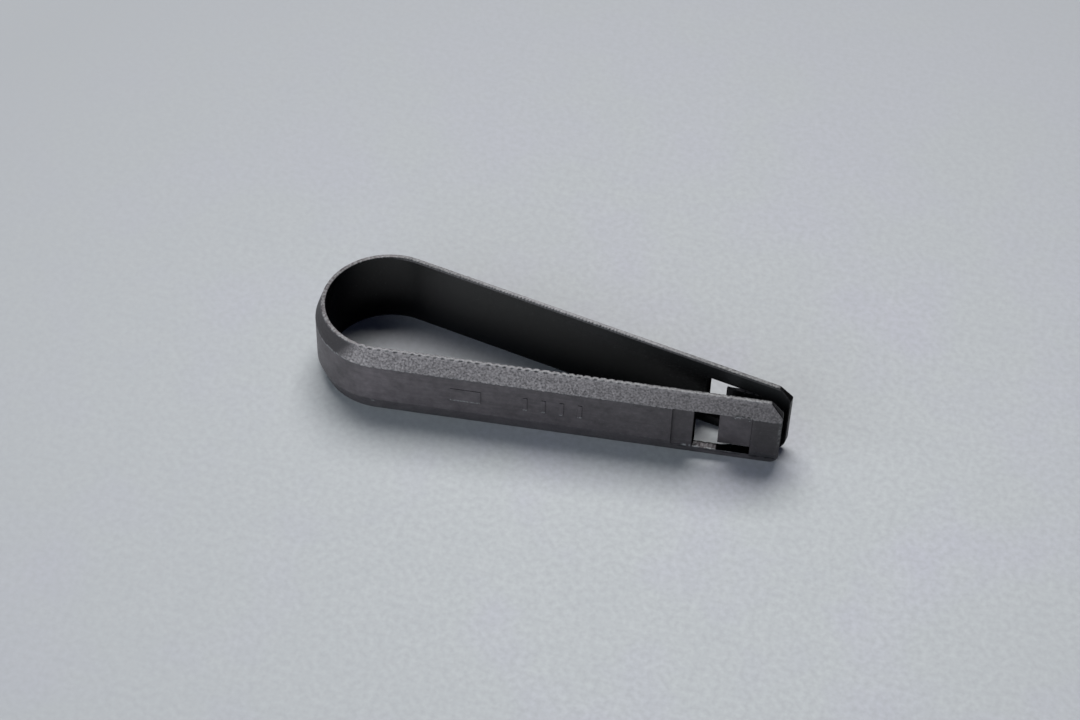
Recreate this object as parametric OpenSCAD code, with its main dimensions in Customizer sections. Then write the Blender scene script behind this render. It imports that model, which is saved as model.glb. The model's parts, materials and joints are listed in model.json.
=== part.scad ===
// A spring clip moulded in one piece: a round bow, two converging arms and a
// sprung tongue in the window near each tip. It stands on its lower rims.
// Origin: middle of the clip's length, on the floor. +X points along the arms to
// the tips, +Y to the far arm and +Z up. Each zone of the moulding that flexes is
// cut off from the next one by a round knuckle, so that it can turn about an
// upright axis.
// Lengths are in millimetres and angles in degrees.

/* [Bow] */
// Radius of the bow's inner face
bow_r = 9.65; // [8:0.05:12]
// Height of the whole clip
height = 13; // [12:0.5:16]
// Thickness of the wall at mid-height
wall_t = 1.6; // [1.4:0.05:2]
// Thickness left at the upper and lower rims
rim_t = 0.62; // [0.5:0.01:0.9]
// Height of the chamfer that thins the wall towards each rim
chamfer_h = 2.9; // [2:0.1:3.2]

/* [Arms] */
// Angle between each arm and the clip's middle plane
arm_angle = 7.8; // [7:0.1:8.2]
// Length of each arm, from where it leaves the bow to its tip
arm_l = 62.3; // [61:0.1:63]
// Length cut off the upper rim by the bevel at the tip
tip_top_l = 1.85; // [1:0.05:3]
// Height of the tip's upper bevel
tip_top_h = 2.1; // [1:0.1:3]
// Length over which the tip's lower corner is rounded off
tip_low_l = 1.6; // [0.4:0.1:2.4]
// Height over which the tip's lower corner is rounded off
tip_low_h = 2.2; // [1:0.1:3]
// Length of the small bevel on the tip's outer upright edge
tip_edge_l = 0.75; // [0.4:0.05:1]
// Thickness that the small bevel takes off the tip
tip_edge_d = 0.3; // [0.1:0.05:0.5]

/* [Window] */
// Where the shallow recess in the outer face starts, along the arm
recess_s = 45.8; // [44:0.1:47]
// Depth of the recess below the outer face
recess_d = 0.45; // [0.3:0.05:0.7]
// Where the window through the wall starts, along the arm
window_s = 49.3; // [48.5:0.1:50.5]
// Height of the window's lower edge
window_low = 1.9; // [1.7:0.1:1.9]
// Height of the window's upper edge
window_top = 10.1; // [10:0.1:10.2]

/* [Tongue] */
// Where the tongue joins the tip block, along the arm
tongue_s = 57.8; // [57:0.1:58.5]
// Length of the tongue
tongue_l = 5; // [4:0.1:6]
// Thickness of the tongue
tongue_t = 0.6; // [0.5:0.05:0.7]
// Angle at which the tongue leans into the gap between the arms
tongue_lean = 7; // [4:0.5:9]
// Height of the tongue's lower edge, at its root
tongue_low = 2.85; // [2.75:0.05:3.2]
// How much lower the edge lies at the tongue's free end
tongue_drop = 0.8; // [0:0.05:0.8]
// Height of the tongue's upper edge
tongue_top = 9.9; // [9.4:0.05:9.95]

/* [Flexing zones] */
// Angle from the back of the bow to the knuckle where the bow's bending is lumped
bow_knuckle_angle = 49; // [40:1:60]
// Distance along the arm to the knuckle where the arm's bending is lumped
arm_knuckle_s = 9.3; // [7:0.1:11]
// Clearance between a knuckle and its socket
knuckle_gap = 0.05; // [0.03:0.01:0.1]
// Knuckle radius as a multiple of half the thickness that it ends
knuckle_ratio = 1.1; // [1.05:0.01:1.15]

/* [Raised marks] */
// Height of the marks above the near arm's outer face
mark_h = 0.12; // [0.05:0.01:0.25]
// Centre height of the marks
mark_z = 6.5; // [6:0.1:7]
// Where the pad's centre is, along the arm
pad_s = 14.2; // [13:0.1:16]
// Length of the pad
pad_l = 4.8; // [3:0.1:6]
// Height of the pad from its lower to its upper edge
pad_h = 2.6; // [2:0.1:4]
// Where the first rib's centre is, along the arm
rib_s = 23.4; // [22:0.1:26]
// Distance between neighbouring ribs
rib_pitch = 2.8; // [2:0.1:3]
// Number of ribs
rib_count = 4; // [2:1:6]
// Width of one rib
rib_w = 0.7; // [0.4:0.05:1]
// Height of one rib from its lower to its upper edge
rib_h = 2.7; // [2:0.1:4]

/* [Hidden] */
plastic = [0.075, 0.075, 0.082];
// How far a cutting tool reaches past the faces that it cuts
over = 1;
// Where the arms leave the bow, and where the bow's knuckles are, round the bow
arm_start = 90 - arm_angle;
bow_knuckle = 180 - bow_knuckle_angle;
// How far the bow's centre is behind the middle of the clip's length
bow_outer_r = bow_r + wall_t;
tip_x = bow_outer_r * sin(arm_angle) + arm_l * cos(arm_angle);
bow_back = (tip_x - bow_outer_r) / 2;
// Middle of each wall's thickness, and the knuckles' radii
wall_mid = wall_t / 2;
wall_knuckle_r = wall_mid * knuckle_ratio;
tongue_mid = tongue_t / 2;
tongue_knuckle_r = tongue_mid * knuckle_ratio;
$fn = 96;

// Section of the wall: flat inside, chamfered towards both rims outside
module wall_section() {
    polygon([
        [0, 0],
        [rim_t, 0],
        [wall_t, chamfer_h],
        [wall_t, height - chamfer_h],
        [rim_t, height],
        [0, height],
    ]);
}

// Wall of an arc of the bow, turning anticlockwise from the +X direction
module bow_wall(turn) {
    rotate_extrude(angle = turn)
        translate([bow_r, 0])
            wall_section();
}

// Moves its children to the far arm: x along the arm, y out of its inner face
module on_far_arm() {
    translate([bow_r * cos(arm_start) - bow_back, bow_r * sin(arm_start), 0])
        rotate([0, 0, -arm_angle])
            children();
}

// Moves its children to the near arm, which is the far arm's mirror image
module on_near_arm() {
    mirror([0, 1, 0])
        on_far_arm()
            children();
}

// Wall of an arm between two distances along it
module arm_wall(from_s, to_s) {
    translate([from_s, 0, 0])
        rotate([90, 0, 90])
            linear_extrude(to_s - from_s)
                wall_section();
}

// Upright round bar through the whole height, at a place in the arm's plan
module upright(s, n, r) {
    translate([s, n, -over])
        cylinder(r = r, h = height + 2 * over);
}

// Upright round bar centred in the bow's wall, in the +X direction
module bow_upright(r) {
    upright(bow_r + wall_mid, 0, r);
}

// Back of the bow, with a socket at each end
module bow() {
    color(plastic)
        translate([-bow_back, 0, 0])
            difference() {
                rotate([0, 0, bow_knuckle])
                    bow_wall(2 * bow_knuckle_angle);
                for (side = [-1, 1])
                    rotate([0, 0, side * bow_knuckle])
                        bow_upright(wall_knuckle_r + knuckle_gap);
            }
}

// Side of the bow and the stiff start of the arm, built in the arm's own frame
module shoulder() {
    side_turn = bow_knuckle - arm_start;
    difference() {
        union() {
            translate([0, -bow_r, 0])
                rotate([0, 0, 90]) {
                    bow_wall(side_turn);
                    intersection() {
                        bow_wall(side_turn + bow_knuckle_angle);
                        rotate([0, 0, side_turn])
                            bow_upright(wall_knuckle_r);
                    }
                }
            arm_wall(0, arm_knuckle_s);
        }
        upright(arm_knuckle_s, wall_mid, wall_knuckle_r + knuckle_gap);
    }
}

module near_shoulder() {
    color(plastic)
        on_near_arm()
            shoulder();
}

module far_shoulder() {
    color(plastic)
        on_far_arm()
            shoulder();
}

// Side view of the arm, with the tip's corners, as a plate through the wall
module arm_side_view() {
    low_corner = [
        for (turn = [90 : -7.5 : 0])
            [arm_l - tip_low_l * (1 - cos(turn)), tip_low_h * (1 - sin(turn))]
    ];
    translate([0, wall_t + over, 0])
        rotate([90, 0, 0])
            linear_extrude(wall_t + 2 * over)
                polygon(concat([[0, -over], [arm_l - tip_low_l, -over]], low_corner, [
                    [arm_l, height - tip_top_h],
                    [arm_l - tip_top_l - over * tip_top_l / tip_top_h, height + over],
                    [0, height + over],
                ]));
}

// Small bevel along the tip's outer upright edge
module tip_edge_cutter() {
    reach = over / tip_edge_l;
    translate([0, 0, -over])
        linear_extrude(height + 2 * over)
            polygon([
                [arm_l - tip_edge_l * (1 + reach), wall_t + tip_edge_d * reach],
                [arm_l + tip_edge_l * reach, wall_t - tip_edge_d * (1 + reach)],
                [arm_l + tip_edge_l * reach, wall_t + tip_edge_d * reach],
            ]);
}

// Recess in the outer face, and the window through the wall
module window_cutter() {
    window_h = window_top - window_low;
    translate([recess_s, wall_t - recess_d, window_low])
        cube([window_s - recess_s + over, recess_d + over, window_h]);
    translate([window_s, -over, window_low])
        cube([tongue_s - window_s, wall_t + 2 * over, window_h]);
    translate([tongue_s, tongue_mid, window_low])
        cylinder(r = tongue_knuckle_r + knuckle_gap, h = window_h);
}

// Arm from its knuckle to the tip
module arm() {
    difference() {
        intersection() {
            union() {
                arm_wall(arm_knuckle_s, arm_l);
                intersection() {
                    arm_wall(arm_knuckle_s - over, arm_knuckle_s + over);
                    upright(arm_knuckle_s, wall_mid, wall_knuckle_r);
                }
            }
            arm_side_view();
        }
        window_cutter();
        tip_edge_cutter();
    }
}

// One raised mark on the outer face, centred at a distance along the arm
module mark(s, l, h) {
    translate([s - l / 2, wall_t - mark_h, mark_z - h / 2])
        cube([l, 2 * mark_h, h]);
}

module near_arm() {
    color(plastic)
        on_near_arm() {
            arm();
            mark(pad_s, pad_l, pad_h);
            for (i = [0 : rib_count - 1])
                mark(rib_s + i * rib_pitch, rib_w, rib_h);
        }
}

module far_arm() {
    color(plastic)
        on_far_arm()
            arm();
}

// Sprung tongue: a thin plate that leans into the gap, turning on its knuckle
module tongue() {
    tongue_h = tongue_top - tongue_low;
    translate([tongue_s, tongue_mid, tongue_low])
        rotate([0, 0, tongue_lean]) {
            translate([0, tongue_mid, 0])
                rotate([90, 0, 0])
                    linear_extrude(tongue_t)
                        polygon([
                            [-tongue_l, -tongue_drop],
                            [0, 0],
                            [0, tongue_h],
                            [-tongue_l, tongue_h],
                        ]);
            intersection() {
                cylinder(r = tongue_knuckle_r, h = tongue_h);
                translate([-tongue_t, -tongue_mid, 0])
                    cube([2 * tongue_t, tongue_t, tongue_h]);
            }
        }
}

module near_tongue() {
    color(plastic)
        on_near_arm()
            tongue();
}

module far_tongue() {
    color(plastic)
        on_far_arm()
            tongue();
}

bow();
near_shoulder();
far_shoulder();
near_arm();
far_arm();
near_tongue();
far_tongue();
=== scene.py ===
"""Looks of a one-piece moulded spring clip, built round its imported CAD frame.

The wall of the clip is one continuous skin that runs from the back of the bow round to
each tip. Places on it are given as w, n, z: w along the middle of the wall from where the
arm leaves the bow (negative on the bow), n outwards from the inner face, and z upwards.
Lengths are in metres.
"""
import json
import math

import bpy
import numpy as np
from mathutils import Matrix, Vector


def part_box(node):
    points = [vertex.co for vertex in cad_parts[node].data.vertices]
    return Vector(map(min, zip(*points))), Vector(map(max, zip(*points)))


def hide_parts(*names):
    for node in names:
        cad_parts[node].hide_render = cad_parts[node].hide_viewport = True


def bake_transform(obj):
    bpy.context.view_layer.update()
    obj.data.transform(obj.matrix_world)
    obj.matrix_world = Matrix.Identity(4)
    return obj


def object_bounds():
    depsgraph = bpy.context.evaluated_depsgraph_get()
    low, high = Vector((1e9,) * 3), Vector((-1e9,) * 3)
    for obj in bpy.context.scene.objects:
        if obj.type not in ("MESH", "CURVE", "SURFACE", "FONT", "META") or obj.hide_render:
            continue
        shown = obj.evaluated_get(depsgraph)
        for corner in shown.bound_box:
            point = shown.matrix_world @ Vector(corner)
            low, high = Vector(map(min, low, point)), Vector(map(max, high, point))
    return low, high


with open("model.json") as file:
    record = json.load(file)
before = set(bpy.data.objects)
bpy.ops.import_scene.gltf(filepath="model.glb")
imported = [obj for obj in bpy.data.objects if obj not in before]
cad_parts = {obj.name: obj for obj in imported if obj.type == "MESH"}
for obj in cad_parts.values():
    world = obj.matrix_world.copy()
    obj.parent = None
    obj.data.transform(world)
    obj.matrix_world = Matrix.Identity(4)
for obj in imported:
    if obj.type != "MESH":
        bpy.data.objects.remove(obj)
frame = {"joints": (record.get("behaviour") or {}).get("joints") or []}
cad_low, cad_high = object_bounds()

MM = 0.001

# ------------------------------------------------------------------ sizes from the frame
pivots = {joint["name"]: Vector(joint["pos_m"]) for joint in frame["joints"]}
bow_pivot = pivots["far_bow_flex"]
arm_pivot = pivots["far_arm_flex"]
tongue_pivot = pivots["far_tongue_flex"]

HEIGHT = cad_high.z
OUTER_R = (cad_high.y - cad_low.y) / 2
BOW_X = cad_low.x + OUTER_R
MID_R = math.hypot(bow_pivot.x - BOW_X, bow_pivot.y)
WALL = 2 * (OUTER_R - MID_R)
INNER_R = OUTER_R - WALL
ARM_PIVOT_W = math.sqrt((arm_pivot.x - BOW_X) ** 2 + arm_pivot.y ** 2 - MID_R ** 2)
ARM_START = math.atan2(arm_pivot.y, arm_pivot.x - BOW_X) + math.atan2(ARM_PIVOT_W, MID_R)
ARM_ANGLE = math.pi / 2 - ARM_START
TIP_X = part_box("far_arm")[1].x
ARM_L = (TIP_X - BOW_X - OUTER_R * math.sin(ARM_ANGLE)) / math.cos(ARM_ANGLE)
BACK_W = -(math.pi - ARM_START) * MID_R
along_arm = Vector((math.cos(ARM_ANGLE), -math.sin(ARM_ANGLE), 0))
out_of_arm = Vector((math.sin(ARM_ANGLE), math.cos(ARM_ANGLE), 0))
to_tongue = tongue_pivot - Vector((BOW_X, 0, 0))
TONGUE_W = to_tongue.dot(along_arm)
TONGUE_T = 2 * (to_tongue.dot(out_of_arm) - INNER_R)
TONGUE_LOW, TONGUE_TOP = (corner.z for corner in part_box("far_tongue"))

# ------------------------------------------------------------------ sizes of the details
RIM_T = 0.62 * MM
CHAMFER_H = 2.9 * MM
TIP_TOP_L, TIP_TOP_H = 1.85 * MM, 2.1 * MM
TIP_LOW_L, TIP_LOW_H = 1.6 * MM, 2.2 * MM
TIP_EDGE_L, TIP_EDGE_D = 0.75 * MM, 0.3 * MM
RECESS_W, RECESS_D = 45.8 * MM, 0.45 * MM
WINDOW_W = 49.3 * MM
WINDOW_LOW, WINDOW_TOP = 1.9 * MM, 10.1 * MM
TONGUE_L, TONGUE_DROP, TONGUE_LEAN = 5 * MM, 0.8 * MM, math.radians(7)
MARK_H, MARK_Z, MARK_ROUND = 0.12 * MM, 6.5 * MM, 0.09 * MM
PAD_W, PAD_L, PAD_H = 14.2 * MM, 4.8 * MM, 2.6 * MM
RIB_W, RIB_L, RIB_H = 23.4 * MM, 0.7 * MM, 2.7 * MM
RIB_PITCH, RIB_COUNT = 2.8 * MM, 4
TONGUE_ROUND, ROOT_L, ROOT_FILLET = 0.12 * MM, 0.5 * MM, 0.2 * MM
TONGUE_TOP_RISE = 0.17 * MM

RIM_ROUND = 0.1 * MM
WINDOW_ROUND = 0.06 * MM
WINDOW_DRAFT = 0.3 * MM
WINDOW_EDGE_W = WINDOW_W - WINDOW_DRAFT
# How much longer than drawn each side and its tongue are moulded
STRETCH = {1: 0.28 * MM, -1: -0.18 * MM}
TONGUE_EXTRA = {1: 0.5 * MM, -1: 0.0}
TIP_ROUND = 0.14 * MM
# Rough ledge, flash under the upper edge and raised sill in the near window
LEDGE_H, LEDGE_END = 0.13 * MM, TONGUE_W - TONGUE_L
BURR_H, BURR_START = 0.6 * MM, TONGUE_W - 3.2 * MM
SILL_RISE, SILL_FADE = 0.32 * MM, 1.2 * MM
STEP_W = 0.05 * MM
TIP_REACH = 3.6 * MM
TIP_MATT = {1: 0.9, -1: 0.5}

SEAM_W = -4.2 * MM
GRAIN_START, GRAIN_SLANT, GRAIN_RAMP = -6.6 * MM, 0.7, 3.2 * MM
GRAIN_SIZE, GRAIN_H = 0.4 * MM, 0.13 * MM
# Row of pits along each upper rim: pitch, distance across the rim, half length, half width
PIT_ROWS = {
    -1: (1.28 * MM, 0.64 * MM, 0.36 * MM, 0.24 * MM),
    1: (0.55 * MM, 0.12 * MM, 0.15 * MM, 0.2 * MM),
}
PIT_H, PIT_FADE = 0.14 * MM, (32 * MM, 46 * MM)
NOTCH_R = 0.28 * MM
SCALLOP = 1.28 * MM

# Faults along the near side's edges: w, z, half length, half height, height
FAULTS = np.array([
    (56.4, 10.3, 1.4, 0.12, -0.1),
    (48.3, 1.95, 1.4, 0.2, 0.1),
    (47.2, 1.6, 1.6, 0.16, -0.12),
    (53.6, 1.82, 3.6, 0.12, 0.05),
    (54.4, 1.5, 3.6, 0.16, -0.12),
    (60.2, 1.6, 1.9, 0.3, -0.2),
    (30.6, 4.9, 0.15, 0.15, 0.06),
    (-8.35, 10.1, 0.3, 0.15, 0.08),
    (-6.07, 10.1, 0.2, 0.15, 0.08),
    (-0.33, 2.5, 0.25, 0.2, 0.1),
]) * MM

# How far before and after each pivot the plastic would bend
BOW_BEND = 4 * MM
ARM_BEND = 8 * MM, 10 * MM
TONGUE_BEND = -0.3 * MM, 2 * MM

FLOOR_GAP = 0.02 * MM
CAMERA_LENS = 81.27
CAMERA_AZ, CAMERA_EL, CAMERA_ROLL = 15.97, 47.05, 0.0313
CAMERA_DISTANCE = 383.7 * MM
CAMERA_AIM = Vector((-3.6, 7.3, 0)) * MM


# ------------------------------------------------------------------ small maths helpers
def spaced(start, stop, step):
    """Even values from start to stop, both included, no more than step apart."""
    return np.linspace(start, stop, max(2, math.ceil((stop - start) / step) + 1))


def chain(*parts):
    """One rising array from several, with repeated values dropped."""
    values = np.sort(np.concatenate([np.atleast_1d(p) for p in parts]))
    return values[np.concatenate([[True], np.diff(values) > 1e-7])]


def ramp(x, start, stop):
    """Smooth step of x from 0 at start to 1 at stop."""
    t = np.clip((x - start) / (stop - start), 0, 1)
    return t * t * (3 - 2 * t)


def hashed(cells, channel):
    """Repeatable value from 0 to 1 for each cell, by hashing its three integers."""
    c = cells.astype(np.int64)
    h = c[..., 0] * 73856093 ^ c[..., 1] * 19349663 ^ c[..., 2] * 83492791
    h = (h + channel * 2654435761) & 0xFFFFFFFF
    h = ((h ^ (h >> 16)) * 0x45D9F3B) & 0xFFFFFFFF
    h = ((h ^ (h >> 16)) * 0x45D9F3B) & 0xFFFFFFFF
    return (h ^ (h >> 16)) / 0xFFFFFFFF


def soft_noise(points, size, channel):
    """Smooth noise from -1 to 1, with features of about the given size."""
    p = points / size
    cell = np.floor(p)
    f = p - cell
    f = f * f * (3 - 2 * f)
    total = np.zeros(len(points))
    for dx in (0, 1):
        for dy in (0, 1):
            for dz in (0, 1):
                weight = np.ones(len(points))
                for axis, d in enumerate((dx, dy, dz)):
                    weight *= f[:, axis] if d else 1 - f[:, axis]
                total += weight * hashed(cell + (dx, dy, dz), channel)
    return 2 * total - 1


def pebbles(points, size, channel):
    """Height from 0 to 1 of rounded grains scattered one to a cell."""
    p = points / size
    cell = np.floor(p)
    nearest = np.full(len(points), 9.0)
    for dx in (-1, 0, 1):
        for dy in (-1, 0, 1):
            for dz in (-1, 0, 1):
                c = cell + (dx, dy, dz)
                centre = c + np.stack([hashed(c, channel + k) for k in range(3)], -1)
                nearest = np.minimum(nearest, ((centre - p) ** 2).sum(1))
    return 1 - np.clip(np.sqrt(nearest), 0, 1)


# ------------------------------------------------------------------ the wall's own frame
def place(sign, w, n, z):
    """Row-frame points of wall places; sign is +1 on the far side and -1 on the near side."""
    w, n, z = np.broadcast_arrays(w, n, z)
    angle = ARM_START - np.minimum(w, 0) / MID_R
    run = np.maximum(w, 0) * (1 + STRETCH[sign] / ARM_L)
    x = BOW_X + (INNER_R + n) * np.cos(angle) + run * math.cos(ARM_ANGLE)
    y = (INNER_R + n) * np.sin(angle) - run * math.sin(ARM_ANGLE)
    return np.stack([x, sign * y, z], -1)


def outer_face(w, z):
    """Distance of the outer surface from the inner face, with chamfers and recess."""
    slope = (WALL - RIM_T) / CHAMFER_H
    n = np.minimum(WALL, RIM_T + slope * np.minimum(z, HEIGHT - z))
    past = np.clip((w - ARM_L + TIP_EDGE_L) / TIP_EDGE_L, 0, 1)
    n = np.minimum(n, WALL - TIP_EDGE_D * past)
    in_recess = (w >= RECESS_W) & (w < TONGUE_W) & (z > WINDOW_LOW) & (z < WINDOW_TOP)
    return np.where(in_recess, np.minimum(n, WALL - RECESS_D), n)


def tip_end(z):
    """Where the arm ends, at a height: bevelled above and rounded below."""
    top = TIP_TOP_L * np.clip((z - HEIGHT + TIP_TOP_H) / TIP_TOP_H, 0, 1)
    low = np.clip((TIP_LOW_H - z) / TIP_LOW_H, 0, 1)
    return ARM_L - top - TIP_LOW_L * (1 - np.sqrt(1 - low ** 2))


# ------------------------------------------------------------------ mesh building
# Looks stored on each point. inner is the near black of the inner faces and also painted shade on
# cut faces, tip ends and the sides of the marks; glint carries painted glints.
LOOKS = ("grain", "edge", "inner", "lift", "pit", "matt", "glint", "near")


class Shell:
    """Collects points and faces of one closed skin, then makes its object."""

    def __init__(self, sign):
        self.sign = sign
        self.places, self.faces = [], []
        self.looks = {look: [] for look in LOOKS}
        self.plain = {"lift": 0.5, "near": float(sign < 0)}

    def add(self, w, n, z, **looks):
        """Adds wall places, with shares of the looks, and returns their numbers."""
        w, n, z = np.broadcast_arrays(w, n, z)
        first = sum(len(p) for p in self.places)
        self.places.append(np.stack([w.ravel(), n.ravel(), z.ravel()], -1))
        for look, store in self.looks.items():
            share = looks.get(look, self.plain.get(look, 0.0))
            store.append(np.broadcast_to(share, w.shape).ravel())
        return np.arange(first, first + w.size).reshape(w.shape)

    def face(self, ring):
        """Adds one face; rings run anticlockwise on the far side and are turned on the near."""
        ring = [int(v) for v in ring]
        self.faces.append(ring if self.sign > 0 else ring[::-1])

    def grid(self, a, b, flip=False):
        """Joins two rows of point numbers with four-sided faces."""
        for k in range(len(a) - 1):
            ring = (a[k], b[k], b[k + 1], a[k + 1])
            self.face(ring[::-1] if flip else ring)

    def build(self, name, material, sharp=60):
        """The mesh object, with unused places left out."""
        used = np.unique(np.concatenate([np.array(f) for f in self.faces]))
        places = np.concatenate(self.places)[used]
        number = np.full(used[-1] + 1, -1)
        number[used] = np.arange(len(used))
        mesh = bpy.data.meshes.new(name)
        points = place(self.sign, *places.T)
        mesh.from_pydata(points.tolist(), [], [number[f].tolist() for f in self.faces])
        add_attribute(mesh, "wall", "FLOAT_VECTOR", places / MM)
        for look, values in self.looks.items():
            add_attribute(mesh, look, "FLOAT", np.concatenate(values)[used])
        mesh.polygons.foreach_set("use_smooth", [True] * len(mesh.polygons))
        mesh.set_sharp_from_angle(angle=math.radians(sharp))
        mesh.materials.append(material)
        piece = bpy.data.objects.new(name, mesh)
        bpy.context.scene.collection.objects.link(piece)
        return piece


def add_attribute(mesh, label, kind, values):
    """Stores one value or one vector for each point of the mesh."""
    layer = mesh.attributes.new(label, kind, "POINT")
    field = "vector" if kind == "FLOAT_VECTOR" else "value"
    layer.data.foreach_set(field, values.astype(np.float32).ravel())


# ------------------------------------------------------------------ section of the wall
ROUNDING = np.radians([30, 60, 90])


def wall_levels():
    """Heights of the rows of points on the inner and the outer face."""
    fine, medium, coarse = 0.105 * MM, 0.2 * MM, 0.3 * MM
    return chain(
        spaced(RIM_ROUND, WINDOW_LOW - WINDOW_ROUND, medium),
        WINDOW_LOW,
        spaced(WINDOW_LOW + STEP_W, CHAMFER_H, medium),
        spaced(CHAMFER_H, WINDOW_TOP - STEP_W, coarse),
        WINDOW_TOP,
        spaced(WINDOW_TOP + WINDOW_ROUND, HEIGHT - RIM_ROUND, fine),
    )


def rim_rows():
    """Rows over a rim, from the inner face outwards: n, and depth below the rim's plane."""
    inner = RIM_ROUND * np.stack([1 - np.cos(ROUNDING), 1 - np.sin(ROUNDING)], -1)
    corner = 0.08 * MM
    flat = spaced(RIM_ROUND, RIM_T - corner, 0.11 * MM)[1:]
    flat = np.stack([flat, np.zeros(len(flat))], -1)
    reach = RIM_T + RIM_ROUND * (WALL - RIM_T) / CHAMFER_H
    t = np.array([1 / 3, 2 / 3])
    outer_n = (1 - t) ** 2 * (RIM_T - corner) + 2 * t * (1 - t) * RIM_T + t * t * reach
    outer = np.stack([outer_n, t * t * RIM_ROUND], -1)
    rows = np.concatenate([inner, flat, outer])
    return rows[:, 0], rows[:, 1]


LEVELS = wall_levels()
RIM_N, RIM_DEPTH = rim_rows()
NZ, NR = len(LEVELS), len(RIM_N)
LOOP = 2 * (NZ + NR)
LOOP_Z = np.concatenate([LEVELS, HEIGHT - RIM_DEPTH, LEVELS[::-1], RIM_DEPTH[::-1]])
ON_OUTER = np.arange(LOOP) - (NZ + NR)
ON_OUTER = (ON_OUTER >= 0) & (ON_OUTER < NZ)
ON_RIM = np.zeros(LOOP, bool)
ON_RIM[NZ:NZ + NR] = ON_RIM[2 * NZ + NR:] = True


def outer_row(k):
    """Loop position of the outer face's point at level k; the inner face's is k itself."""
    return 2 * NZ + NR - 1 - k


def level_at(z):
    """Number of the level at a height."""
    return int(np.argmin(abs(LEVELS - z)))


def loop_n(w):
    """n of every loop position, where w holds one row of loop positions to a station."""
    n = np.zeros(w.shape)
    n[:, NZ:NZ + NR] = RIM_N
    n[:, 2 * NZ + NR:] = RIM_N[::-1]
    n[:, ON_OUTER] = outer_face(w[:, ON_OUTER], LOOP_Z[ON_OUTER])
    return n


def loop_normals():
    """Outward directions (n, z) of the plain wall's loop positions."""
    n = loop_n(np.zeros((1, LOOP)))[0]
    step = np.stack([np.roll(n, -1) - np.roll(n, 1), np.roll(LOOP_Z, -1) - np.roll(LOOP_Z, 1)], -1)
    step /= np.linalg.norm(step, axis=1, keepdims=True)
    return np.stack([-step[:, 1], step[:, 0]], -1)


def loop_grain():
    """Share of the coarse grain at each loop position: the upper chamfer and rim have most."""
    depth = HEIGHT - LOOP_Z
    outside = 1 - ramp(depth, CHAMFER_H, CHAMFER_H + 0.15 * MM)
    inside = 0.8 * (1 - ramp(depth, 0.15 * MM, 0.5 * MM))
    low = 0.1 * ramp(CHAMFER_H - LOOP_Z, 0, 0.3 * MM)
    upper = np.where(ON_RIM, 1, np.where(ON_OUTER, outside, inside))
    return np.where(depth < HEIGHT / 2, upper, low)


def loop_edge():
    """Closeness of each loop position to an edge of the wall, from 0 to 1."""
    depth = np.minimum(LOOP_Z, HEIGHT - LOOP_Z)
    by_chamfer = np.exp(-((depth - CHAMFER_H) / (0.14 * MM)) ** 2)
    by_chamfer = np.where(LOOP_Z < HEIGHT / 2, 0.3 * by_chamfer, by_chamfer)
    by_rim = np.exp(-(depth / (0.16 * MM)) ** 2)
    return 0.6 * np.where(ON_OUTER, np.maximum(by_chamfer, by_rim), by_rim)


NORMALS, GRAIN, EDGE = loop_normals(), loop_grain(), loop_edge()
BY_RIM = np.exp(-((HEIGHT - LOOP_Z) / (0.36 * MM)) ** 2)
INNER = (np.arange(LOOP) <= NZ).astype(float)


def arm_stations():
    """Places along the arm's skin: fine where the grain is, and exact at every step."""
    step = 0.12 * MM
    return chain(
        spaced(SEAM_W, RECESS_W - STEP_W, step),
        spaced(RECESS_W, WINDOW_EDGE_W - WINDOW_ROUND, step),
        spaced(WINDOW_EDGE_W, TONGUE_W, step),
        spaced(TONGUE_W + WINDOW_ROUND, ARM_L - TIP_ROUND, step),
    )


def rim_pits(sign, w, n, z):
    """Depth from 0 to 1 of the row of pits, and of the notches between them, along a rim."""
    pitch, centre, half_w, half_s = PIT_ROWS[sign]
    along = np.stack([w.ravel(), 0 * w.ravel(), 0 * w.ravel()], -1)
    turn = w / pitch + 0.3 * soft_noise(along, 2 * pitch, 23).reshape(w.shape)
    t = 2 * (turn % 1) - 1
    across = n + HEIGHT - z
    pit = 1 - ramp(np.hypot(t * pitch / 2 / half_w, (across - centre) / half_s), 0.4, 1)
    notch = 1 - ramp(np.hypot((1 - abs(t)) * pitch / 2, across) / NOTCH_R, 0.3, 1)
    return np.maximum(pit, notch) if sign < 0 else 0.7 * pit


def coarse_grain(sign, w, n, z, share, pit):
    """How far the moulded grain lifts each place of the wall; it fades towards the tip."""
    at = place(sign, w, n, z).reshape(-1, 3)
    lift = pebbles(at, GRAIN_SIZE, 11) - 0.55 + 0.35 * soft_noise(at, GRAIN_SIZE / 2, 5)
    shift = GRAIN_H * lift.reshape(n.shape) * (1 - 0.45 * ramp(w, 5 * MM, ARM_L))
    shift = share * (shift * (1 - 0.5 * BY_RIM) + PIT_H * (0.3 * BY_RIM - pit))
    return np.where(ON_RIM & (z < HEIGHT / 2), np.minimum(shift, 0), shift)


def fault_share(w, z):
    """Raggedness from -1 to 1 and height of the moulding faults at each place."""
    at = np.stack([w, z, 0 * z], -1).reshape(-1, 3)
    ragged = soft_noise(at, 0.4 * MM, 41).reshape(w.shape)
    height = np.zeros(w.shape)
    for centre_w, centre_z, half_w, half_z, peak in FAULTS:
        reach = ((w - centre_w) / half_w) ** 4 + ((z - centre_z) / half_z) ** 2
        height += peak * np.exp(-reach)
    return np.clip(0.35 + ragged, 0, 1), height * ON_OUTER


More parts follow.
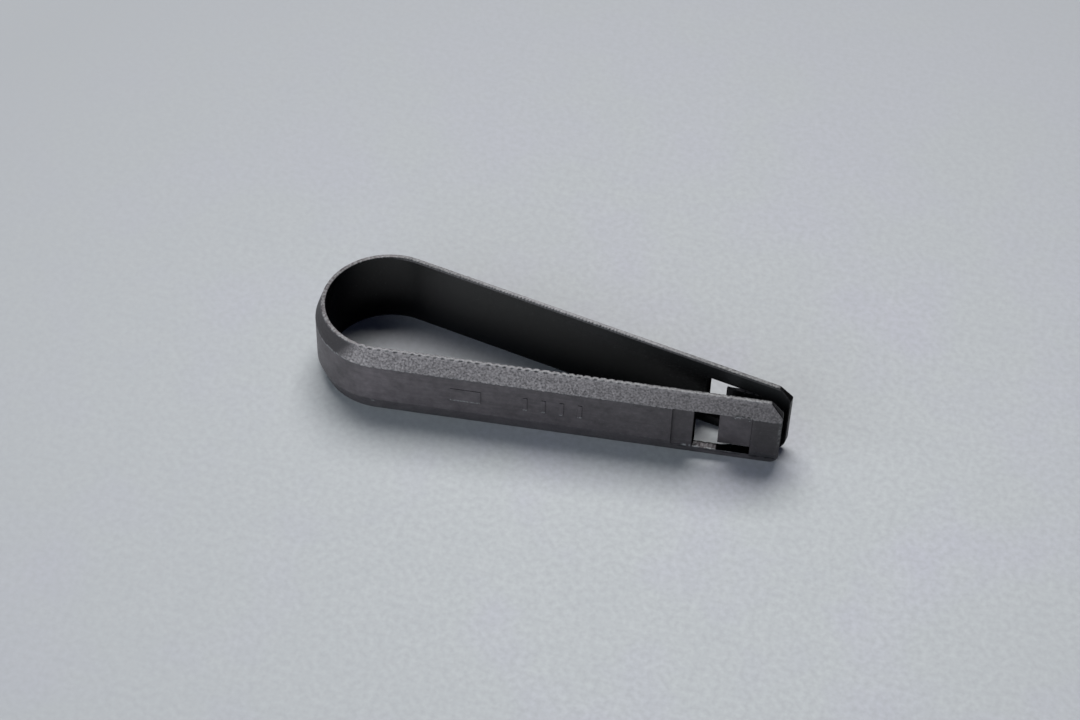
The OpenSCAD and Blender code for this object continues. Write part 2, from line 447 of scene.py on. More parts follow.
def add_faults(w, z, shift, edge, pit):
    """Adds the near side's faults and its bright tip edge to the wall's lift and looks."""
    tip_edge = ramp(w, ARM_L - 0.55 * MM, ARM_L - 0.3 * MM) * ramp(z, 4 * MM, 6 * MM)
    ragged, height = fault_share(w, z)
    fault = ragged * height
    # Painted highlight along the tip edge and on the raised flash, through the edge share; painted
    # shade in the dents, through the pit share.
    edge = np.maximum(edge, 0.6 * tip_edge * ON_OUTER)
    edge = np.maximum(edge, np.clip(6 * fault / GRAIN_H, 0, 2))
    pit = np.maximum(pit, np.clip(-4 * fault / GRAIN_H, 0, 1))
    return shift + fault, edge, pit


def add_wall(shell, stations, tip=False):
    """Adds the swept wall's points and returns their numbers, one row to a station."""
    w, z = np.meshgrid(stations, LOOP_Z, indexing="ij")
    fade = 1.0
    if tip:
        start = ARM_L - TIP_REACH
        share = np.clip((w - start) / (ARM_L - TIP_ROUND - start), 0, 1)
        fade = 1 - ramp(w, ARM_L - 0.6 * MM, ARM_L - TIP_ROUND)
        w = w - share * (ARM_L - tip_end(z))
    n = loop_n(w)
    start = GRAIN_START + GRAIN_SLANT * np.maximum(z - HEIGHT + CHAMFER_H, 0)
    grain = GRAIN * ramp(w, start, start + GRAIN_RAMP)
    pit = rim_pits(shell.sign, w, n, z) * BY_RIM * (1 - 0.8 * ramp(w, *PIT_FADE))
    shift = fade * coarse_grain(shell.sign, w, n, z, grain, pit)
    lift = np.clip(0.5 + shift / GRAIN_H, 0, 1)
    edge, pit = np.broadcast_to(EDGE, w.shape), pit * grain
    if shell.sign < 0:
        shift, edge, pit = add_faults(w, z, shift, edge, pit)
    looks = dict(grain=grain, edge=edge, inner=INNER, lift=lift, pit=pit)
    return shell.add(w, n + shift * NORMALS[:, 0], z + shift * NORMALS[:, 1], **looks)


def close_end(shell, ids, facing_back):
    """Closes a flat end of the wall with strips from the inner to the outer face."""
    rings = [(ids[k], ids[k + 1], ids[outer_row(k + 1)], ids[outer_row(k)]) for k in range(NZ - 1)]
    rings.append(list(ids[NZ - 1:NZ + NR + 1]))
    rings.append(list(ids[2 * NZ + NR - 1:]) + [ids[0]])
    for ring in rings:
        shell.face(ring if facing_back else ring[::-1])


def close_tip(shell, last):
    """Rounds the edges of the tip and closes it across the wall's thickness."""
    n = loop_n(tip_end(LOOP_Z)[None, :])[0]
    matt = TIP_MATT[shell.sign]
    for turn in ROUNDING:
        inset = TIP_ROUND * (1 - math.cos(turn))
        ring_n, ring_z = n - inset * NORMALS[:, 0], LOOP_Z - inset * NORMALS[:, 1]
        ring_w = tip_end(ring_z) - TIP_ROUND * (1 - math.sin(turn))
        # Painted shade: the tip's rounded edges are near black.
        ring = shell.add(ring_w, ring_n, ring_z, edge=0.1, inner=np.maximum(INNER, 0.9), matt=matt)
        closed_last, closed = np.append(last, last[0]), np.append(ring, ring[0])
        shell.grid(closed_last, closed)
        last = ring
    outer = [outer_row(k) for k in range(NZ)]
    rows, strips = [last[:NZ]], 5
    for part in range(1, strips):
        share = part / strips
        row_n = ring_n[:NZ] * (1 - share) + ring_n[outer] * share
        row_z = ring_z[:NZ] * (1 - share) + ring_z[outer] * share
        # Painted shade: the tip's end is near black.
        rows.append(shell.add(tip_end(row_z), row_n, row_z, inner=0.93, matt=matt))
    rows.append(last[outer])
    for a, b in zip(rows[:-1], rows[1:]):
        shell.grid(a, b)
    shell.face([row[-1] for row in rows] + list(last[NZ:NZ + NR])[::-1])
    shell.face([row[0] for row in rows][::-1] + list(last[2 * NZ + NR:])[::-1])


def window_faults(w, z, n):
    """Shares of the ledge, the flash and the sill at places of the near window's lining."""
    ledge = (z < WINDOW_LOW) * (1 - ramp(w, LEDGE_END - 0.15 * MM, LEDGE_END))
    burr = (z > WINDOW_TOP) * ramp(n, WALL - 0.6 * MM, WALL - 0.3 * MM)
    burr = burr * ramp(w, BURR_START, BURR_START + 0.6 * MM)
    burr = burr * (1 - ramp(w, TONGUE_W - 0.3 * MM, TONGUE_W))
    sill = ramp(w, LEDGE_END + 0.4 * MM, LEDGE_END + 2.2 * MM)
    sill = sill * (1 - ramp(n, 0.3 * MM, 0.9 * MM))
    sill = sill * np.clip(1 - (z - WINDOW_LOW) / SILL_FADE, 0, 1)
    return ledge, burr, sill


def window_row(shell, w, z, n, flare=0.0, edge=0.0):
    """Adds one ring of the window's lining; flare is the share of its rounding still open."""
    near = float(shell.sign < 0)
    held_w = np.clip(w, WINDOW_EDGE_W, TONGUE_W)
    share = (TONGUE_W - held_w) / (TONGUE_W - WINDOW_EDGE_W)
    wall_w = TONGUE_W - share * (TONGUE_W - WINDOW_W + near * WINDOW_DRAFT * n / WALL)
    wall_z = np.clip(z, WINDOW_LOW, WINDOW_TOP)
    ledge, burr, sill = (near * part for part in window_faults(wall_w, z, n))
    ragged = soft_noise(np.stack([wall_w, n, 0 * z], -1), 0.35 * MM, 31)
    ring_w = wall_w + (np.clip(w, None, TONGUE_W + WINDOW_ROUND) - held_w) * flare
    ring_z = wall_z + (z - wall_z) * flare + ledge * LEDGE_H * ragged
    ring_z = ring_z + sill * SILL_RISE - burr * BURR_H * np.clip(0.4 + ragged, 0, 1)
    # Painted shade: the lining is near black, including the ledge under the tongue and all of the
    # far window. Painted light makes the open part of the near ledge and the flash pale.
    lit = ledge * ramp(n, 0.1 * MM, 0.4 * MM)
    shown = lit + burr
    looks = dict(edge=edge * shown, inner=1 - shown, matt=1 - shown)
    return shell.add(ring_w, n, ring_z, grain=0.6 * lit, lift=0.5 + 0.5 * ragged, **looks)


def cut_window(shell, ids, stations):
    """Lines the window with walls, rounded at both faces, and returns the cells to leave out."""
    first = int(np.argmin(abs(stations - WINDOW_EDGE_W + WINDOW_ROUND)))
    last = int(np.argmin(abs(stations - TONGUE_W - WINDOW_ROUND)))
    low, top = level_at(WINDOW_LOW - WINDOW_ROUND), level_at(WINDOW_TOP + WINDOW_ROUND)
    ring = [(i, low) for i in range(first, last)] + [(last, k) for k in range(low, top)]
    ring += [(i, top) for i in range(last, first, -1)] + [(first, k) for k in range(top, low, -1)]
    at, level = np.array(ring).T
    w, z = stations[at], LEVELS[level]
    inside, outside = np.zeros(len(ring)), outer_face(w, z)
    rounding = list(zip(1 - np.sin(ROUNDING), WINDOW_ROUND * (1 - np.cos(ROUNDING))))
    rows = [ids[at, level]]
    for flare, depth in rounding:
        rows.append(window_row(shell, w, z, inside + depth, flare, 0.5))
    for part in (0.2, 0.4, 0.6, 0.8):
        n = WINDOW_ROUND + (outside - 2 * WINDOW_ROUND) * part
        rows.append(window_row(shell, w, z, n))
    for flare, depth in rounding[::-1]:
        rows.append(window_row(shell, w, z, outside - depth, flare, 2.0))
    rows.append(ids[at, outer_row(level)])
    for a, b in zip(rows[:-1], rows[1:]):
        shell.grid(np.append(a, a[0]), np.append(b, b[0]), flip=True)
    return first, last, low, top


def wall_faces(shell, ids, hole=None):
    """Faces between neighbouring stations all round the loop, apart from the hole's."""
    around = np.append(np.arange(LOOP), 0)
    for i in range(len(ids) - 1):
        for j in range(LOOP):
            if hole and hole[0] <= i < hole[1]:
                k = j if j < NZ else outer_row(j) - 1
                if hole[2] <= k < hole[3]:
                    continue
            a, b = around[j], around[j + 1]
            shell.face((ids[i, a], ids[i + 1, a], ids[i + 1, b], ids[i, b]))


def bow_skin(sign, name, material):
    """Half of the bow, from its back to the seam inside the shoulder."""
    shell = Shell(sign)
    stations = chain(spaced(BACK_W, GRAIN_START, 0.18 * MM), spaced(GRAIN_START, SEAM_W, 0.12 * MM))
    ids = add_wall(shell, stations)
    wall_faces(shell, ids)
    close_end(shell, ids[0], True)
    close_end(shell, ids[-1], False)
    return shell.build(name, material)


def arm_skin(sign, name, material):
    """The rest of one side: shoulder, arm, recess, window and bevelled tip."""
    shell = Shell(sign)
    stations = arm_stations()
    ids = add_wall(shell, stations, tip=True)
    hole = cut_window(shell, ids, stations)
    wall_faces(shell, ids, hole)
    close_end(shell, ids[0], True)
    close_tip(shell, ids[-1])
    return shell.build(name, material)


# ------------------------------------------------------------------ tongues and marks
def rounded_ring(n_range, z_range, radius, inset):
    """Rounded rectangle in n and z, anticlockwise and less an inset."""
    r = max(radius - inset, 0.15 * radius)
    n0, n1 = n_range[0] + inset + r, n_range[1] - inset - r
    z0, z1 = z_range[0] + inset + r, z_range[1] - inset - r
    ring_n, ring_z = [], []
    for corner_n, corner_z, start in ((n1, z0, -90), (n1, z1, 0), (n0, z1, 90), (n0, z0, 180)):
        turns = np.radians(np.linspace(start, start + 90, 5))
        ring_n.append(corner_n + r * np.cos(turns))
        ring_z.append(corner_z + r * np.sin(turns))
    return np.concatenate(ring_n), np.concatenate(ring_z)


def add_block(shell, w_range, n_range, z_range, radius, step, shape=None, **looks):
    """Adds a closed block with rounded edges; shape moves its places to their final form."""
    grain, glint, side_shade = (looks.get(look, 0.0) for look in ("grain", "glint", "side_shade"))
    turns = np.radians([0, 30, 60, 90])
    lead, lead_inset = radius * (1 - np.cos(turns)), radius * (1 - np.sin(turns))
    middle = spaced(w_range[0] + radius, w_range[1] - radius, step)[1:-1]
    stations = np.concatenate([w_range[0] + lead, middle, w_range[1] - lead[::-1]])
    insets = np.concatenate([lead_inset, np.zeros(len(middle)), lead_inset[::-1]])
    n_middle = (n_range[0] + n_range[1]) / 2
    rows = []
    for w, inset in zip(stations, insets):
        n, z = rounded_ring(n_range, z_range, radius, inset)
        where = (np.full(n.shape, w), n, z)
        if shape:
            where = shape(*where)
        # Painted shade on the sides of the marks.
        inner = np.where(n < n_range[1] - 0.6 * radius, side_shade, 0.0)
        inner = np.where(n < n_middle, 1.0, inner)
        rows.append(shell.add(*where, grain=grain, inner=inner, glint=glint))
    for a, b in zip(rows[:-1], rows[1:]):
        shell.grid(np.append(b, b[0]), np.append(a, a[0]))
    shell.face(rows[0][::-1])
    shell.face(rows[-1])


def lean_tongue(w, n, z):
    """Leans a tongue's places into the gap, tapers it and thickens its root."""
    run = TONGUE_W - w
    theta = TONGUE_LEAN * ramp(run, -0.2 * MM, 0.4 * MM)
    thin = 1 - 0.15 * ramp(run, TONGUE_L / 2, TONGUE_L) - 0.15 * ramp(-run, -0.2 * MM, 0)
    off = (n - TONGUE_T / 2) * thin
    root = ROOT_FILLET * np.exp(-np.maximum(run, 0) / ROOT_FILLET)
    off = off + np.where(off > 0, root, 0)
    rise = TONGUE_DROP * (1 - np.clip(run / TONGUE_L, 0, 1))
    top_rise = TONGUE_TOP_RISE * (1 - ramp(run, 0.7 * TONGUE_L, TONGUE_L))
    leaning_w = TONGUE_W - run * np.cos(theta) - off * np.sin(theta)
    leaning_n = TONGUE_T / 2 - run * np.sin(theta) + off * np.cos(theta)
    height_share = (z - TONGUE_LOW) / (TONGUE_TOP - TONGUE_LOW)
    leaning_z = z + rise * (1 - height_share) + top_rise * height_share
    return leaning_w, leaning_n, leaning_z


def tongue_piece(sign, name, material):
    """Sprung tongue, with its root buried in the tip block."""
    shell = Shell(sign)
    w_range = (TONGUE_W - TONGUE_L - TONGUE_EXTRA[sign], TONGUE_W + ROOT_L)
    z_range = (TONGUE_LOW, TONGUE_TOP)
    n_range = (0, TONGUE_T)
    add_block(shell, w_range, n_range, z_range, TONGUE_ROUND, 0.2 * MM, lean_tongue, grain=0.25)
    return shell.build(name, material)


def marks_piece(sign, name, material):
    """Plain raised pad and row of ribs on the outer face."""
    shell = Shell(sign)
    n_range = (WALL - 0.2 * MM, WALL + MARK_H)
    marks = [(PAD_W, PAD_L, PAD_H)]
    marks += [(RIB_W + i * RIB_PITCH, RIB_L, RIB_H) for i in range(RIB_COUNT)]
    # Painted shade on the marks' sides and painted glints along their feet.
    looks = dict(glint=1.0, side_shade=0.9)
    for centre, length, height in marks:
        w_range = (centre - length / 2, centre + length / 2)
        z_range = (MARK_Z - height / 2, MARK_Z + height / 2)
        add_block(shell, w_range, n_range, z_range, MARK_ROUND, 0.3 * MM, **looks)
    return shell.build(name, material)


# ------------------------------------------------------------------ materials
class Graph:
    """Short ways to add and join a material's nodes."""

    def __init__(self, name):
        self.material = bpy.data.materials.new(name)
        self.material.use_nodes = True
        self.tree = self.material.node_tree
        self.tree.nodes.clear()

    def add(self, kind, inputs, **settings):
        """One node; each input is a value or another node's output."""
        node = self.tree.nodes.new("ShaderNode" + kind)
        for key, value in settings.items():
            setattr(node, key, value)
        for key, source in inputs.items():
            if isinstance(source, bpy.types.NodeSocket):
                self.tree.links.new(source, node.inputs[key])
            else:
                node.inputs[key].default_value = source
        return node

    def attribute(self, name, output="Fac"):
        """A value or a vector that the mesh holds for each of its points."""
        return self.add("Attribute", {}, attribute_name=name).outputs[output]

    def maths(self, operation, a, b=0.0):
        """Result of one sum on two values."""
        return self.add("Math", {0: a, 1: b}, operation=operation).outputs[0]

    def times(self, *factors):
        """Product of two or more values."""
        product = factors[0]
        for factor in factors[1:]:
            product = self.maths("MULTIPLY", product, factor)
        return product

    def noise(self, vector, scale, detail=2.0, stretch=(1, 1, 1)):
        """Noise from 0 to 1 with scale features to a millimetre."""
        size = self.add("VectorMath", {0: vector, 1: stretch}, operation="MULTIPLY").outputs[0]
        inputs = {"Vector": size, "Scale": scale, "Detail": detail}
        return self.add("TexNoise", inputs).outputs["Fac"]

    def span(self, value, low, high, to_low=0.0, to_high=1.0):
        """Maps low..high of a value to to_low..to_high, held at both ends."""
        inputs = {0: value, 1: low, 2: high, 3: to_low, 4: to_high}
        return self.add("MapRange", inputs).outputs[0]

    def mix(self, share, a, b, blend="MIX"):
        """Mix of two colours."""
        node = self.add("Mix", {0: share, 6: a, 7: b}, data_type="RGBA", blend_type=blend)
        return node.outputs[2]

    def blend(self, share, a, b):
        """Mix of two values."""
        return self.add("Mix", {0: share, 2: a, 3: b}, data_type="FLOAT").outputs[0]

    def finish(self, shader):
        """Joins the shader to the material's output and returns the material."""
        self.add("OutputMaterial", {"Surface": shader.outputs[0]})
        return self.material


def grey(level, tint=(1, 1, 1)):
    """Linear colour of a level of grey, tinted."""
    return (level * tint[0], level * tint[1], level * tint[2], 1)


# Heights in millimetres: foot of the marks, inner ends of both chamfers, and upper rim
MARK_FOOT = (MARK_Z - max(PAD_H, RIB_H) / 2) / MM
LOW_EDGE_Z = CHAMFER_H / MM
GRAIN_EDGE_Z = (HEIGHT - CHAMFER_H) / MM
RIM_Z = HEIGHT / MM - 0.1
SATIN_TINT, GRAIN_TINT = (1.12, 0.965, 1.02), (1.087, 0.975, 0.965)
TOP_TINT = (0.937, 1.0, 1.05)


class WallGraph(Graph):
    """Material graph with the places, looks and noises of the wall, in millimetres."""

    def __init__(self, name):
        super().__init__(name)
        self.wall = self.attribute("wall", "Vector")
        self.along, self.across, self.up = self.add("SeparateXYZ", {0: self.wall}).outputs[:3]
        self.inner, self.near = self.attribute("inner"), self.attribute("near")
        self.fine = self.noise(self.wall, 3.4, 3.0)
        self.blotch = self.noise(self.wall, 0.45, 3.0)
        self.streak = self.noise(self.wall, 1.6, 4.0, (0.15, 1, 1.6))


def scallops(g):
    """Row of arches from 0 to 1 along the wall, unevenly spaced."""
    wobble = g.span(g.noise(g.wall, 0.7, 1.0, (1, 0, 0)), 0.3, 0.7, -0.3, 0.3)
    turn = g.maths("ADD", g.maths("DIVIDE", g.along, SCALLOP / MM), wobble)
    t = g.span(g.maths("FRACT", turn), 0, 1, -1, 1)
    return g.maths("SUBTRACT", 1.0, g.times(t, t))


def grain_limit(g):
    """Share of the grain, down to its scalloped limit, and of the painted shadow line below it."""
    limit = g.maths("SUBTRACT", GRAIN_EDGE_Z, g.span(scallops(g), 0, 1, -0.04, 0.18))
    above = g.maths("SUBTRACT", g.up, limit)
    grain = g.times(g.attribute("grain"), g.span(above, -0.04, 0.05))
    below = g.times(g.span(above, -0.3, -0.02), g.span(above, 0.02, -0.02))
    past_bow = g.span(g.along, -8, -4, 0, 0.55)
    return grain, g.times(below, past_bow)


def satin_colour(g, shadow_line):
    """Outer faces with drawn streaks, and painted light: brightest where the bow runs into the arm
    and falling off towards the tip.
    """
    # Painted light: the level falls off from the bow along the arm, with a hump where the bow runs
    # into the arm.
    fall = g.span(g.along, 12, 60, 0.1, 0.052)
    painted_light_hump = g.times(g.span(g.along, -5, 0), g.span(g.along, 0, 9, 1, 0), 0.034)
    blotches = g.span(g.blotch, 0.3, 0.7, 0.8, 1.2)
    mottle = g.span(g.noise(g.wall, 1.3, 3.0), 0.3, 0.7, 0.85, 1.15)
    before_recess = g.span(g.along, 46, 44, 0.15, 1)
    drawn = g.times(before_recess, g.span(g.streak, 0.3, 0.7, -0.14, 0.14))
    level = g.times(g.maths("ADD", fall, painted_light_hump), blotches, mottle, g.maths("ADD", 1.0, drawn))

    on_chamfer = g.span(g.up, GRAIN_EDGE_Z, GRAIN_EDGE_Z + 0.1)
    on_chamfer = g.times(on_chamfer, g.span(g.across, 0.5, 0.75))
    level = g.blend(on_chamfer, level, g.span(g.along, -14, -10, 0.024, 0.047))

    # Painted shadow: the outer face darkens in a line just under the grain's edge.
    line = g.span(shadow_line, 0, 1, 1, 0.3)
    # Painted shade on the back of the bow, the tip block and the downward-facing lower chamfer;
    # painted light on the tongue's outer face.
    bow = g.span(g.along, -12, -3, 0.79, 1)
    tip_block_shade = g.span(g.along, 57.5, 58.5, 1, 0.64)
    on_low_chamfer = g.span(g.up, LOW_EDGE_Z + 0.1, LOW_EDGE_Z - 0.1)
    low_chamfer_shade = g.blend(on_low_chamfer, 1.0, g.span(g.along, 0, 30, 0.66, 0.88))
    on_tongue = g.times(g.span(g.across, 1.0, 0.9), g.span(g.along, 50, 51))
    tongue = g.span(on_tongue, 0, 1, 1, 1.42)
    level = g.times(level, line, bow, tip_block_shade, low_chamfer_shade, tongue)
    return g.mix(level, grey(0), grey(1, SATIN_TINT))


def inner_colour(g):
    """Inner and cut faces: near black, with a painted reflection of the lit floor making them a
    little paler upwards and by the rim, and a little paler by the tip.
    """
    on_face = g.span(g.across, 0.3, 0.1)
    # Painted reflection of the lit floor: paler towards the top of the inner face and by the rim.
    upwards = g.times(g.span(g.up, 4, 12, 0.002, 0.009), g.span(g.along, 20, 62, 1, 0.5))
    by_rim = g.times(g.span(g.up, 9, 12.5, 0, 0.014), g.span(g.along, 10, 36), on_face)
    by_tip = g.span(g.times(on_face, g.span(g.along, 50, 58)), 0, 1, 1, 2.2)
    level = g.times(g.maths("ADD", upwards, by_rim), by_tip)
    return g.mix(level, grey(0), grey(1))


def grain_colour(g, on_top):
    """Painted light on the grain's peaks and painted shade in its hollows, fading towards the tip
    and darker on the rims.
    """
    lit_peaks = g.span(g.attribute("lift"), 0.2, 0.8, 0, 0.45)
    peak = g.maths("ADD", lit_peaks, g.span(g.fine, 0.38, 0.62, 0, 0.55))
    colour = g.mix(peak, grey(0.155, GRAIN_TINT), grey(0.57, GRAIN_TINT))
    # Painted shade: the grain darkens along the arm towards the tip, as the light from the left
    # falls off.
    past_bow, towards_tip = g.span(g.along, 0, 12, 0, 0.11), g.span(g.along, 24, 60, 0, 0.39)
    colour = g.mix(g.maths("ADD", past_bow, towards_tip), colour, grey(0))
    by_bow, by_tip = g.span(g.along, 4, 18, 0.72, 0.44), g.span(g.along, 40, 50, 0.44, 0.78)
    dark_rim = g.blend(g.near, g.maths("MAXIMUM", by_bow, by_tip), 0.58)
    colour = g.mix(g.times(on_top, dark_rim), colour, grey(0))
    return g.mix(on_top, colour, grey(1, TOP_TINT), "MULTIPLY")


def pit_shade_share(g, on_top):
    """Share of painted shade in the pits, and on the near rim's inner lip towards the tip."""
    inner_lip, towards_tip = g.span(g.across, 0.34, 0.14), g.span(g.along, 34, 44, 0, 0.95)
    lip = g.times(inner_lip, towards_tip, on_top, g.near)
    return g.times(g.maths("MAXIMUM", g.attribute("pit"), lip), 0.88)


def wear_and_glint_share(g):
    """Share of pale colour: wear on edges, partly a painted highlight line along the bow's chamfer
    edge, the flash and the tip edge, and painted glints along the feet of the raised marks.
    """
    patches = g.span(g.noise(g.wall, 2.4, 2.0), 0.42, 0.66, 0, 0.9)
    edges = g.times(g.attribute("edge"), patches, g.span(g.along, -6, -4, 1.4, 1))
    by_foot = g.span(g.up, MARK_FOOT + 0.45, MARK_FOOT + 0.2)
    feet = g.times(g.attribute("glint"), by_foot, g.span(g.fine, 0.4, 0.55))
    return g.maths("MINIMUM", g.maths("ADD", edges, feet), 1.0)


def surface_roughness(g, grain):
    """Roughness: streaky on satin faces, low on inner faces and even on the grain."""
    streaks, fine = g.span(g.streak, 0.3, 0.7, 0.38, 0.5), g.span(g.fine, 0.3, 0.7, -0.04, 0.06)
    inside = g.span(g.blotch, 0.3, 0.7, 0.18, 0.26)
    return g.blend(grain, g.blend(g.inner, g.maths("ADD", streaks, fine), inside), 0.45)


def reflection(g):
    """Strength of the reflections: weaker on the bow, and none on matt faces."""
    outside = g.span(g.along, -14, -4, 0.2, 0.5)
    rise, fall = g.span(g.along, -14, 2, 0.08, 0.5), g.span(g.along, 8, 36, 0.5, 0.2)
    inside = g.maths("MINIMUM", rise, fall)
    return g.blend(g.attribute("matt"), g.blend(g.inner, outside, inside), 0.0)


def moulded_plastic():
    """Black moulded plastic: satin faces with drawn streaks, and pale grainy chamfers."""
    g = WallGraph("moulded_plastic")
    grain, shadow_line = grain_limit(g)
    on_top = g.times(g.span(g.up, RIM_Z - 0.15, RIM_Z), g.span(g.across, 0.66, 0.58))
    speck = g.span(g.noise(g.wall, 4.2, 1.0), 0.68, 0.76, 0, 0.3)
    # inner share: near black inner faces, and painted shade on window linings, tip ends and the
    # marks' sides.
    colour = g.mix(g.inner, satin_colour(g, shadow_line), inner_colour(g))
    colour = g.mix(grain, colour, grain_colour(g, on_top))
    # Painted shade: near black in the rim pits, the dents and on the near rim's inner lip.
    colour = g.mix(pit_shade_share(g, on_top), colour, grey(0.01))
    # Wear, painted highlights on edges and flash, and painted glints at the marks' feet.
    colour = g.mix(wear_and_glint_share(g), colour, grey(0.3))
    colour = g.mix(speck, colour, grey(0.2))
    height = g.maths("ADD", g.times(g.fine, g.blend(grain, 0.12, 1.0)), g.times(g.streak, 0.12))
    bump = g.add("Bump", {"Strength": 0.6, "Distance": 0.06 * MM, "Height": height})
    shader = g.add("BsdfPrincipled", {
        "Base Color": colour,
        "Roughness": surface_roughness(g, grain),
        "Specular IOR Level": reflection(g),
        "Normal": bump.outputs[0],
        "IOR": 1.5,
    })
    return g.finish(shader)


def floor_material():
    """Pale blue-grey board with a fine, slightly uneven surface and painted light falloff away from
    the clip; clear from underneath.
    """
    g = Graph("pale_board")
    where = g.add("TexCoord", {}).outputs["Object"]
    cloud = g.noise(where, 45.0, 4.0)
    patch = g.noise(where, 180.0, 2.0)
    tooth = g.noise(where, 1050.0, 3.0)
    back = g.span(g.add("SeparateXYZ", {0: where}).outputs[1], 0, 0.12, -0.1, 0.1)
    cool = g.span(g.maths("ADD", cloud, back), 0.4, 0.6)
    colour = g.mix(cool, grey(0.585, (0.965, 1.0, 1.0)), grey(0.585, (0.975, 0.975, 1.06)))
    shifted = g.add("VectorMath", {0: where, 1: (-0.03, 0.02, 0)}, operation="ADD").outputs[0]
    falloff_distance = g.add("VectorMath", {0: shifted}, operation="LENGTH").outputs["Value"]
    # Painted light falloff: the board darkens away from a spot near the clip.
    colour = g.mix(g.span(falloff_distance, 0.03, 0.16), colour, grey(0.45, (0.96, 0.985, 1.01)))
    colour = g.mix(g.span(patch, 0.3, 0.7, 0, 0.12), colour, grey(0.45, (0.93, 0.99, 1.04)))
    colour = g.mix(g.span(tooth, 0.3, 0.7, 0, 0.6), colour, grey(0.45, (0.96, 0.98, 1.01)))
    bump = g.add("Bump", {"Strength": 0.4, "Distance": 0.05 * MM, "Height": tooth})
    shader = g.add("BsdfPrincipled", {
        "Base Color": colour,
        "Roughness": 0.7,
        "Specular IOR Level": 0.3,
        "Normal": bump.outputs[0],
    })
    clear = g.add("BsdfTransparent", {})
    below = g.add("NewGeometry", {}).outputs["Backfacing"]
    return g.finish(g.add("MixShader", {0: below, 1: shader.outputs[0], 2: clear.outputs[0]}))


# ------------------------------------------------------------------ the clip
def bend(piece, first, second, pivot, direction, before, after):
    """Bakes the piece's placement into its mesh."""
    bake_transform(piece)


def build_side(side, sign, material):
    """All the pieces of one side of the clip."""
    mirror = Matrix.Diagonal((1, sign, 1))
    turn = math.atan2(bow_pivot.y, bow_pivot.x - BOW_X)
    round_bow = Vector((math.sin(turn), -math.cos(turn), 0))
    shoulder, arm, tongue = f"{side}_shoulder", f"{side}_arm", f"{side}_tongue"

    bow = bow_skin(sign, f"{side}_bow_skin", material)
    bend(bow, "bow", shoulder, mirror @ bow_pivot, mirror @ round_bow, BOW_BEND, BOW_BEND)
    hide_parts("bow")

    skin = arm_skin(sign, f"{side}_arm_skin", material)
    bend(skin, shoulder, arm, mirror @ arm_pivot, mirror @ along_arm, *ARM_BEND)
    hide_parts(shoulder, arm)

    spring = tongue_piece(sign, f"{side}_spring_tongue", material)
    bend(spring, arm, tongue, mirror @ tongue_pivot, mirror @ -along_arm, *TONGUE_BEND)
    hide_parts(tongue)


def build_clip():
    """Both sides of the clip, and the marks on the near arm."""
    material = moulded_plastic()
    build_side("far", 1, material)
    build_side("near", -1, material)
    mirror = Matrix.Diagonal((1, -1, 1))
    marks = marks_piece(-1, "near_arm_marks", material)
    bend(marks, "near_shoulder", "near_arm", mirror @ arm_pivot, mirror @ along_arm, *ARM_BEND)


# ------------------------------------------------------------------ floor, light and camera
def add_floor():
    """Large plain floor under the clip."""
    size = 3.0
    mesh = bpy.data.meshes.new("floor")
    corners = [(-size, -size, 0), (size, -size, 0), (size, size, 0), (-size, size, 0)]
    mesh.from_pydata(corners, [], [(0, 1, 2, 3)])
    mesh.materials.append(floor_material())
    floor = bpy.data.objects.new("floor", mesh)
    floor.location.z = -FLOOR_GAP
    bpy.context.scene.collection.objects.link(floor)


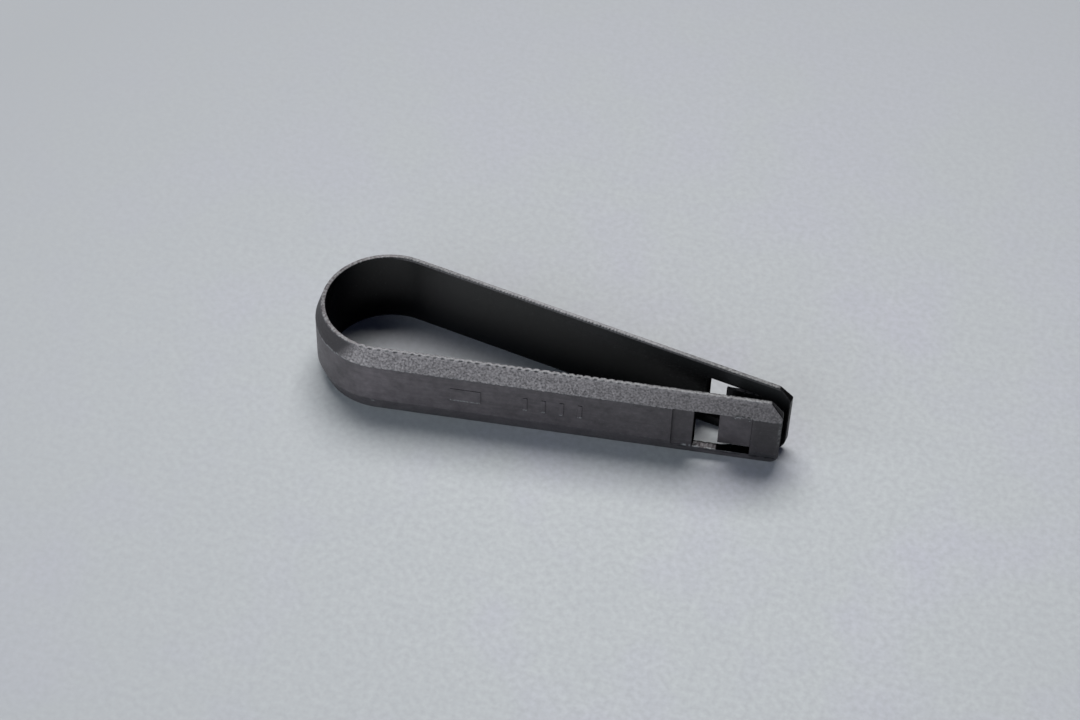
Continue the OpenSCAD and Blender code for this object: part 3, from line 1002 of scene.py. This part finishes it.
def add_softbox(name, azimuth, elevation, distance, width, height, power, tint=(1, 1, 1)):
    """Large soft light that faces the clip; azimuth 0 is in front and 90 to the right."""
    light = bpy.data.lights.new(name, "AREA")
    light.shape = "RECTANGLE"
    light.size, light.size_y = width, height
    light.energy = power
    light.color = tint
    lamp = bpy.data.objects.new(name, light)
    a, e = math.radians(azimuth), math.radians(elevation)
    out = Vector((math.sin(a) * math.cos(e), -math.cos(a) * math.cos(e), math.sin(e)))
    lamp.location = out * distance
    lamp.rotation_euler = out.to_track_quat("Z", "Y").to_euler()
    bpy.context.scene.collection.objects.link(lamp)


def add_world():
    """Dim surroundings as light, and a pale backdrop where the camera sees past the floor."""
    world = bpy.data.worlds.new("studio")
    world.use_nodes = True
    tree = world.node_tree
    background = tree.nodes["Background"]
    background.inputs["Color"].default_value = grey(0.028, (0.8, 1, 1.9))
    seen = tree.nodes.new("ShaderNodeBackground")
    seen.inputs["Color"].default_value = grey(0.5, (0.95, 1, 1.05))
    mix = tree.nodes.new("ShaderNodeMixShader")
    path = tree.nodes.new("ShaderNodeLightPath")
    tree.links.new(path.outputs["Is Camera Ray"], mix.inputs[0])
    tree.links.new(background.outputs[0], mix.inputs[1])
    tree.links.new(seen.outputs[0], mix.inputs[2])
    tree.links.new(mix.outputs[0], tree.nodes["World Output"].inputs["Surface"])
    bpy.context.scene.world = world


def add_camera():
    """Camera in front of the near arm, looking down along the clip's length from the right."""
    azimuth, elevation, roll = math.radians(CAMERA_AZ), math.radians(CAMERA_EL), CAMERA_ROLL
    back = Vector((
        math.sin(azimuth) * math.cos(elevation),
        -math.cos(azimuth) * math.cos(elevation),
        math.sin(elevation),
    ))
    level = (-back).cross(Vector((0, 0, 1))).normalized()
    upright = level.cross(-back)
    right = level * math.cos(roll) + upright * math.sin(roll)
    up = upright * math.cos(roll) - level * math.sin(roll)
    camera = bpy.data.objects.new("camera", bpy.data.cameras.new("camera"))
    camera.data.lens = CAMERA_LENS
    camera.data.clip_start = 0.01
    camera.matrix_world = Matrix.Translation(CAMERA_AIM + back * CAMERA_DISTANCE) @ (
        Matrix((right, up, back)).transposed().to_4x4())
    bpy.context.scene.collection.objects.link(camera)
    bpy.context.scene.camera = camera


build_clip()
add_floor()
add_softbox("key_softbox", 201.5, 62, distance=1.6, width=1.24, height=0.90, power=26.6)
add_softbox("front_fill", 327, 25.5, distance=1.2, width=1.58, height=0.89, power=7.1,
            tint=(0.86, 0.955, 1.02))
add_world()
add_camera()
bpy.context.scene.view_settings.view_transform = "Standard"
